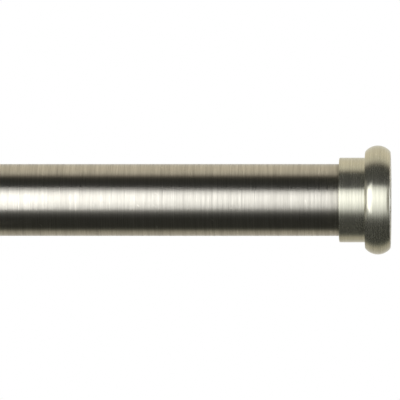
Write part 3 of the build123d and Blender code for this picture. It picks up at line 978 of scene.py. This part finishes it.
def cup_path():
    """Rows of the strip's path: its middle and outward direction in (towards the wall, up), and its size.

    The path is straight down in front, round below the rod, and straight up at the back. At its tips
    the strip thins as cos a while it advances by half its wall times sin a.
    """
    middle_radius = CUP_INSIDE + CUP_HALF_WALL
    tip = np.linspace(0, pi / 2, TIP_ROWS + 1)[1:]
    stretches = [np.linspace(start, end, steps + 1)[1:] for start, end, steps in CUP_ARC]
    arc = radians(180) + np.radians(np.concatenate([[0.0], *stretches]))
    outward = np.stack([np.cos(arc), np.sin(arc)], axis=-1)
    rise = np.concatenate([CUP_SIDE, CUP_SIDE[-1] + CUP_HALF_WALL * np.sin(tip)])
    back = np.stack([np.full(len(rise), middle_radius), rise], axis=-1)
    middles = np.concatenate([back[::-1] * (-1, 1), middle_radius * outward, back])
    ends = np.repeat([[1.0, 0.0]], len(rise), axis=0)
    normals = np.concatenate([-ends, outward, ends])
    whole = np.ones(len(arc) + 2 * len(CUP_SIDE))
    return middles, normals, np.concatenate([np.cos(tip)[::-1], whole, np.cos(tip)])


def rod_cup_shell():
    """U-shaped cup: its section carried along its path, with a boss behind and a tapped boss below."""
    section = cup_section()
    middles, normals, thin = cup_path()
    width = 1 - CUP_EDGE / CUP_HALF_WIDTH * (1 - thin)
    out = middles[:, None] + normals[:, None] * (section[:, 1] * thin[:, None])[..., None]
    points = np.stack([section[:, 0] * width[:, None], out[..., 0], out[..., 1]], axis=-1)
    first_arc = TIP_ROWS + len(CUP_SIDE)
    before, bottom, after, rear = (steps for _, _, steps in CUP_ARC)
    below = first_arc + before + np.arange(bottom + 1)
    behind = first_arc + before + bottom + after + np.arange(rear + len(CUP_SIDE))
    outer_columns = np.arange(FACE_COLUMNS)
    inner_start = FACE_COLUMNS + 2 * CORNER_STEPS
    inner_columns = inner_start + outer_columns[::-1]
    windows = [
        ((rows[0], rows[-1]), (first, first + FACE_COLUMNS - 1))
        for rows, first in ((below, 0), (below, inner_start), (behind, 0))
    ]
    shells = [grid(points, wrap_columns=True, windows=windows)]

    def round_outside(a, b):
        return np.sqrt(CUP_OUTSIDE**2 - b**2)

    def round_inside(a, b):
        return np.sqrt(CUP_INSIDE**2 - b**2)

    def back_outside(a, b):
        return np.sqrt(CUP_OUTSIDE**2 - np.minimum(b, 0) ** 2)

    place = (np.zeros(3), X_AXIS, Y_AXIS, -Z_AXIS)
    outer_border = border_of(points, below, outer_columns)
    inner_border = border_of(points, below, inner_columns)
    turn = np.arctan2(outer_border @ Y_AXIS, outer_border @ X_AXIS)
    rings = boss_rings(outer_border, turn, place, round_outside, *TAPPED_BOSS, 20.2 * MM, TAPPED_HOLE)
    rings += rings_on(inner_border, TAPPED_HOLE, turn, place, round_inside)[::-1]
    shells.append(grid(np.stack(rings), wrap_columns=True))

    hole, floor = 3.0 * MM, 14.7 * MM
    place = (np.zeros(3), X_AXIS, Z_AXIS, Y_AXIS)
    border = border_of(points, behind, outer_columns)
    turn = np.arctan2(border @ Z_AXIS, border @ X_AXIS)
    rings = boss_rings(border, turn, place, back_outside, 6.0 * MM, 0.3 * MM, 22.0 * MM, hole)
    rings += circles_at([(hole, floor), (0.0, floor)], turn, place)
    shells.append(grid(np.stack(rings), wrap_columns=True))
    return shells


KNOB_FLUTES = 20
FLUTE_RADIUS = 0.55 * MM
KNOB_RADIUS = 5.6 * MM
GRIP_EDGE = 0.6 * MM
STUD_RADIUS, STUD_DEPTH = 1.95 * MM, 6.0 * MM


def thumb_knob_shell(top):
    """Fluted knob turned about Z below a given height, with a blind bore for its stud.

    At distance a from a flute's middle the grip lies lower by the root of flute radius squared less a
    squared, and the flutes run out at both ends of the grip.
    """
    bottom, grip_top, bore_end = top - 9.5 * MM, top - 2.0 * MM, top - STUD_DEPTH
    rear = [(bore_end, 0), (bore_end, STUD_RADIUS), (top, STUD_RADIUS, 0.15 * MM), (top, 3.8 * MM, 0.3 * MM)]
    rear += [(grip_top, 3.8 * MM, 0.3 * MM), (grip_top, KNOB_RADIUS, GRIP_EDGE)]
    rear += [(grip_top - 0.9 * MM, KNOB_RADIUS)]
    dish = bottom + 0.35 * MM
    end = [(bottom + 0.9 * MM, KNOB_RADIUS), (bottom, KNOB_RADIUS, GRIP_EDGE), (bottom, 3.9 * MM, 0.2 * MM)]
    end += [(dish, 3.4 * MM, 0.3 * MM), (dish, 0)]
    outline = np.concatenate([rounded(rear), rounded(end)])
    angles = around(KNOB_FLUTES * 14)
    away = away_from(angles, KNOB_FLUTES, KNOB_RADIUS)
    flute = np.sqrt(np.maximum(FLUTE_RADIUS**2 - away**2, 0))
    on_grip = np.clip((outline[:, 1] - (KNOB_RADIUS - GRIP_EDGE)) / GRIP_EDGE, 0, 1)
    return turned_shell(outline, angles, "Z", on_grip[:, None] * flute[None, :])


def thumb_stud_shell(knob_top, tip_top):
    """Threaded stud from inside the knob up to its plain tip, which carries the pad."""
    shoulder, tip_radius = tip_top - 1.3 * MM, 0.9 * MM
    places = dense(knob_top - STUD_DEPTH, shoulder - 0.2 * MM, 0.08 * MM)
    body = straight(places, STUD_RADIUS)
    tip = [(shoulder, 1.6 * MM), (shoulder, tip_radius), (tip_top, tip_radius, 0.25 * MM), (tip_top, 0)]
    outline = np.concatenate([[[places[0], 0.0]], body, rounded(tip, 4)])
    angles = around(SMALL_SEGMENTS)
    relief = thread(outline, angles, 0.7 * MM, 0.4 * MM, places[0], shoulder)
    relief[0] = 0
    relief[len(body) + 1:] = 0
    return turned_shell(outline, angles, "Z", relief)


def clamp_pad_shell(bottom, top):
    """Small round pad with a blind hole below for the stud's tip."""
    radius, hole, hole_end = 1.8 * MM, 0.96 * MM, bottom + 1.4 * MM
    outline = [(hole_end, 0), (hole_end, hole), (bottom, hole, 0.15 * MM), (bottom, radius, 0.3 * MM)]
    outline += [(top, radius, 0.2 * MM), (top, 0.9 * MM), (top, 0)]
    return turned_shell(rounded(outline, 5), around(SMALL_SEGMENTS), "Z")


def rod_place():
    """The rod's axis, as the centre that pieces turned about it are moved to."""
    return (0, ROD_CENTRE[1], ROD_CENTRE[2])


def cup_place(side):
    """Centre of a cup's round seat."""
    return bracket_place(side) + (0, ROD_CENTRE[1], 0)


class ROD_OT_tubes(bpy.types.Operator):
    """Build the fat tube and the thin tube that slides in it"""

    bl_idname = "curtain_rod.tubes"
    bl_label = "Tubes"

    def execute(self, context):
        segments = context.scene.rod_shape.segments
        for node, radius in (("outer_tube", TUBE_RADIUS), ("inner_tube", THIN_RADIUS)):
            shell = tube_shell(node, radius, radius - TUBE_WALL, segments)
            make_piece(f"{node}_brushed", [shell], finish_for("brushed_round_rod"), [node], rod_place())
        return {"FINISHED"}


class ROD_OT_end_caps(bpy.types.Operator):
    """Build the two end caps, each a collar and a disc with a rounded rim"""

    bl_idname = "curtain_rod.end_caps"
    bl_label = "End caps"

    def execute(self, context):
        for side in SIDES:
            shape, node = context.scene.rod_shape, f"end_cap_{side}"
            shell = turned_shell(towards_end(cap_outline(shape), side), around(shape.segments))
            make_piece(f"{node}_turned", [shell], finish_for("satin_end_cap"), [node], rod_place())
        return {"FINISHED"}


class ROD_OT_bushes(bpy.types.Operator):
    """Build the nylon bushes of the telescope and the reducer under the left cap"""

    bl_idname = "curtain_rod.bushes"
    bl_label = "Bushes and reducer"

    def execute(self, context):
        angles = around(context.scene.rod_shape.segments)
        for node, corners in bush_corners().items():
            shell = turned_ring(corners + [corners[0][:2]], angles)
            kind = "white_nylon" if node == "glide_bush" else "grey_nylon"
            make_piece(f"{node}_moulded", [shell], finish_for(kind), [node], rod_place())
        return {"FINISHED"}


class ROD_OT_cap_plugs(bpy.types.Operator):
    """Build the ribbed plugs inside the tubes' ends and the screws that hold them to the caps"""

    bl_idname = "curtain_rod.cap_plugs"
    bl_label = "Cap plugs"

    def execute(self, context):
        for side, radius in (("right", TUBE_RADIUS), ("left", THIN_RADIUS)):
            plug, screw = f"cap_plug_{side}", f"cap_plug_screw_{side}"
            shell = cap_plug_shell(side, radius - TUBE_WALL)
            make_piece(f"{plug}_ribbed", [shell], finish_for("white_nylon"), [plug], rod_place())
            shell = plug_screw_shell(side)
            make_piece(f"{screw}_threaded", [shell], finish_for("zinc_screw"), [screw], rod_place())
        return {"FINISHED"}


class ROD_OT_wall_plates(bpy.types.Operator):
    """Build the round-ended wall plates and their two screws each"""

    bl_idname = "curtain_rod.wall_plates"
    bl_label = "Wall plates and screws"

    def execute(self, context):
        vertices, faces = wall_screw_shell()
        screws = [(vertices + (0, 0, height), faces) for height in (SCREW_HEIGHT, -SCREW_HEIGHT)]
        for side in SIDES:
            plate, fixings = f"wall_plate_{side}", f"wall_screws_{side}"
            place = bracket_place(side)
            make_piece(f"{plate}_bevelled", wall_plate_shell(), finish_for("satin_plate"), [plate], place)
            make_piece(f"{fixings}_threaded", screws, finish_for("zinc_screw"), [fixings], place)
        return {"FINISHED"}


class ROD_OT_arms(bpy.types.Operator):
    """Build the sleeves on the plates, the bolts behind them and the arms that slide in them"""

    bl_idname = "curtain_rod.arms"
    bl_label = "Sleeves and arms"

    def execute(self, context):
        for side in SIDES:
            place = bracket_place(side)
            for name, shells, kind in (
                ("arm_sleeve", arm_sleeve_shell(), "satin_arm"),
                ("sleeve_bolt", [sleeve_bolt_shell()], "zinc_screw"),
                ("arm_rod", [arm_rod_shell()], "satin_arm"),
            ):
                node = f"{name}_{side}"
                make_piece(f"{node}_turned", shells, finish_for(kind), [node], place)
        return {"FINISHED"}


class ROD_OT_cups(bpy.types.Operator):
    """Build the open cups that the rod rests in"""

    bl_idname = "curtain_rod.cups"
    bl_label = "Cups"

    def execute(self, context):
        for side in SIDES:
            node = f"rod_cup_{side}"
            make_piece(f"{node}_cast", rod_cup_shell(), finish_for("satin_cup"), [node], cup_place(side))
        return {"FINISHED"}


class ROD_OT_clamp_screws(bpy.types.Operator):
    """Build the knobs, studs and pads that clamp the rod in its cups and the arms in their sleeves"""

    bl_idname = "curtain_rod.clamp_screws"
    bl_label = "Clamp screws"

    def execute(self, context):
        for side in SIDES:
            for clamp in ("cup", "arm"):
                knob, stud, pad = (f"{clamp}_{piece}_{side}" for piece in ("knob", "screw", "pad"))
                axis = middle(knob) * (1, 1, 0)
                knob_top, tip_top = span(knob, 2)[1], span(stud, 2)[1]
                for node, shell, kind, ending in (
                    (knob, thumb_knob_shell(knob_top), "satin_knob", "fluted"),
                    (stud, thumb_stud_shell(knob_top, tip_top), "zinc_screw", "threaded"),
                    (pad, clamp_pad_shell(*span(pad, 2)), "white_nylon", "moulded"),
                ):
                    make_piece(f"{node}_{ending}", [shell], finish_for(kind), [node], axis)
        return {"FINISHED"}


# Stage


def ramp_of(tree, factor, stops):
    """A colour ramp from (position, colour) stops."""
    node = add_node(tree, "ShaderNodeValToRGB", {"Fac": factor})
    elements = node.color_ramp.elements
    while len(elements) < len(stops):
        elements.new(0.5)
    for element, (position, colour) in zip(elements, stops):
        element.position = position
        element.color = (*colour, 1)
    return node.outputs["Color"]


def calculate(tree, operation, first, second=0.0):
    """One step of arithmetic on values."""
    made = add_node(tree, "ShaderNodeMath", {0: first, 1: second}, operation=operation)
    return made.outputs[0]


# Size of the key light and where it stands: in front of the rod, left of its end and above its axis
KEY_SIZE = (0.30, 0.170)
KEY_DISTANCE, KEY_SHIFT, KEY_RISE = 0.12, 0.095, 0.014
# Light on the left and right ends of the studio
LEFT_SIDE = (0.42, 0.40, 0.35)
RIGHT_SIDE = (0.20, 0.19, 0.165)
# Light from each direction round the rod's axis, in degrees from straight in front, upwards positive
STUDIO = [
    (-180, (0.85, 0.82, 0.76)),
    (-141, (0.54, 0.50, 0.42)),
    (-125, (0.47, 0.43, 0.34)),
    (-109, (0.11, 0.11, 0.09)),
    (-100, (0.045, 0.045, 0.038)),
    (-62, (0.042, 0.042, 0.037)),
    (-47, (0.08, 0.08, 0.076)),
    (-39, (0.20, 0.20, 0.19)),
    (-31, (0.52, 0.52, 0.51)),
    (-21, (1.06, 1.06, 1.05)),
    (-8, (1.46, 1.46, 1.44)),
    (3, (1.70, 1.70, 1.69)),
    (14, (1.58, 1.58, 1.57)),
    (23, (1.18, 1.18, 1.17)),
    (28, (0.74, 0.74, 0.73)),
    (34, (0.06, 0.06, 0.06)),
    (55, (0.040, 0.040, 0.036)),
    (72, (0.045, 0.045, 0.038)),
    (80, (0.12, 0.108, 0.088)),
    (88, (0.44, 0.40, 0.33)),
    (98, (0.70, 0.65, 0.53)),
    (118, (0.80, 0.72, 0.57)),
    (136, (0.78, 0.71, 0.57)),
    (154, (0.76, 0.72, 0.62)),
    (180, (0.80, 0.77, 0.71)),
]


def studio_world(strength):
    """A studio painted on the sky by direction, with plain white for what the camera sees of it.

    A direction's turn is twice the arctangent of Z over 1 - Y: the turn round the rod's axis at which a
    round piece reflects that direction to the front. Left and right ends of the studio are plain.
    """
    world = bpy.data.worlds.new("studio")
    world.use_nodes = True
    tree = world.node_tree
    tree.nodes.clear()
    direction = add_node(tree, "ShaderNodeTexCoord").outputs["Generated"]
    parts = add_node(tree, "ShaderNodeSeparateXYZ", {"Vector": direction}).outputs
    ahead = calculate(tree, "SUBTRACT", 1.0, parts["Y"])
    half_turn = calculate(tree, "ARCTAN2", parts["Z"], ahead)
    share = ranged(tree, half_turn, 0, 1, -pi / 2, pi / 2)
    middle_part = ramp_of(tree, share, [((turn + 180) / 360, colour) for turn, colour in STUDIO])
    leftwards = ranged(tree, parts["X"], 0, 1, -0.90, -0.97)
    rightwards = ranged(tree, parts["X"], 0, 1, 0.93, 0.985)
    with_left = mixed(tree, leftwards, middle_part, (*LEFT_SIDE, 1))
    with_sides = mixed(tree, rightwards, with_left, (*RIGHT_SIDE, 1))
    seen = add_node(tree, "ShaderNodeLightPath").outputs["Is Camera Ray"]
    colour = mixed(tree, seen, with_sides, (1, 1, 1, 1))
    background = add_node(tree, "ShaderNodeBackground", {"Color": colour, "Strength": strength})
    add_node(tree, "ShaderNodeOutputWorld", {"Surface": background.outputs["Background"]})
    bpy.context.scene.world = world


FLOOR_RINGS, FLOOR_SEGMENTS = 13, 96
# Share of the picture's width from its middle to the rod's right end
END_SHARE = 0.47625
FILL_SIZE, FILL_HEIGHT = 6.0, 3.5


def stage_floor(drop, radius=3.0):
    """A round pale floor below the brackets: radius times (cos t, sin t) on rings out to its edge."""
    rings = radius * np.linspace(0, 1, FLOOR_RINGS)[:, None] ** 1.5
    angles = around(FLOOR_SEGMENTS)[None, :]
    centre = (CAD_BOX[0] + CAD_BOX[1]) / 2
    height = np.full((FLOOR_RINGS, FLOOR_SEGMENTS), CAD_BOX[0].z - drop)
    x, y = centre.x + rings * np.cos(angles), centre.y + rings * np.sin(angles)
    vertices, faces = grid(np.stack([x, y, height], axis=-1), wrap_columns=True)
    mesh = bpy.data.meshes.new("floor")
    mesh.from_pydata(vertices, [], faces)
    mesh.materials.append(finish_for("pale_floor"))
    floor = bpy.data.objects.new("floor", mesh)
    bpy.context.collection.objects.link(floor)
    floor.visible_glossy = False


def stage_camera(settings):
    """A long lens that looks at the rod's right end, a little from its own right."""
    width, distance = settings.frame_width, settings.camera_distance
    right_end = span("end_cap_right", 0)[1]
    target = Vector((right_end - width * END_SHARE, ROD_CENTRE[1], ROD_CENTRE[2]))
    azimuth = settings.camera_azimuth
    back = Vector((sin(azimuth), -cos(azimuth), 0))
    data = bpy.data.cameras.new("camera")
    data.sensor_width = 36.0
    data.lens = data.sensor_width * distance / width
    data.clip_end = 50.0
    camera = bpy.data.objects.new("camera", data)
    camera.location = target + back * distance
    camera.rotation_euler = (-back).to_track_quat("-Z", "Y").to_euler()
    bpy.context.collection.objects.link(camera)
    bpy.context.scene.camera = camera


def area_light(name, shape, size, energy, location):
    """A soft panel of light that the camera doesn't see."""
    data = bpy.data.lights.new(name, "AREA")
    data.shape = shape
    data.size, data.size_y = size
    data.energy = energy
    light = bpy.data.objects.new(name, data)
    light.location = location
    light.visible_camera = False
    bpy.context.collection.objects.link(light)
    return light


def key_light(settings):
    """A soft panel close in front of the rod, to the left of its end, so that it lights the left more."""
    width, height = KEY_SIZE
    x = span("end_cap_right", 0)[1] - KEY_SHIFT - width / 2
    place = (x, ROD_CENTRE[1] - KEY_DISTANCE, ROD_CENTRE[2] + KEY_RISE)
    light = area_light("key_light", "RECTANGLE", KEY_SIZE, settings.key * pi * width * height, place)
    light.rotation_euler = (pi / 2, 0, 0)


def fill_light(settings):
    """A large soft panel overhead that brightens what scatters light and leaves no reflection on metal."""
    place = ((CAD_BOX[0].x + CAD_BOX[1].x) / 2, ROD_CENTRE[1], FILL_HEIGHT)
    energy = settings.fill * FILL_SIZE**2
    light = area_light("fill_light", "DISK", (FILL_SIZE, FILL_SIZE), energy, place)
    light.visible_glossy = False


class ROD_OT_stage(bpy.types.Operator):
    """Set up the studio: surroundings, floor, camera and lights"""

    bl_idname = "curtain_rod.stage"
    bl_label = "Stage"

    def execute(self, context):
        settings = context.scene.rod_stage
        context.scene.view_settings.view_transform = "Standard"
        studio_world(settings.studio)
        stage_floor(settings.floor_drop)
        stage_camera(settings)
        key_light(settings)
        fill_light(settings)
        return {"FINISHED"}


OPERATORS = (
    ROD_OT_tubes,
    ROD_OT_end_caps,
    ROD_OT_bushes,
    ROD_OT_cap_plugs,
    ROD_OT_wall_plates,
    ROD_OT_arms,
    ROD_OT_cups,
    ROD_OT_clamp_screws,
    ROD_OT_stage,
)


class ROD_PT_panel(bpy.types.Panel):
    """Lists the rod's settings and the operators that build it"""

    bl_idname = "ROD_PT_panel"
    bl_label = "Curtain Rod"
    bl_space_type = "VIEW_3D"
    bl_region_type = "UI"
    bl_category = "Curtain Rod"

    def draw(self, context):
        for group in (context.scene.rod_finish, context.scene.rod_shape, context.scene.rod_stage):
            box = self.layout.box()
            for name in group.__annotations__:
                box.prop(group, name)
        for operator in OPERATORS:
            self.layout.operator(operator.bl_idname)


CLASSES = (FinishSettings, ShapeSettings, StageSettings, *OPERATORS, ROD_PT_panel)


def register():
    """Registers the classes and hangs the settings on the scene."""
    for cls in CLASSES:
        bpy.utils.register_class(cls)
    bpy.types.Scene.rod_finish = PointerProperty(type=FinishSettings)
    bpy.types.Scene.rod_shape = PointerProperty(type=ShapeSettings)
    bpy.types.Scene.rod_stage = PointerProperty(type=StageSettings)


def unregister():
    """Takes the settings off the scene and unregisters the classes."""
    del bpy.types.Scene.rod_stage
    del bpy.types.Scene.rod_shape
    del bpy.types.Scene.rod_finish
    for cls in reversed(CLASSES):
        bpy.utils.unregister_class(cls)


def main():
    """Builds every piece and the stage."""
    register()
    for operator in OPERATORS:
        group, name = operator.bl_idname.split(".")
        getattr(getattr(bpy.ops, group), name)()


if __name__ == "__main__":
    main()
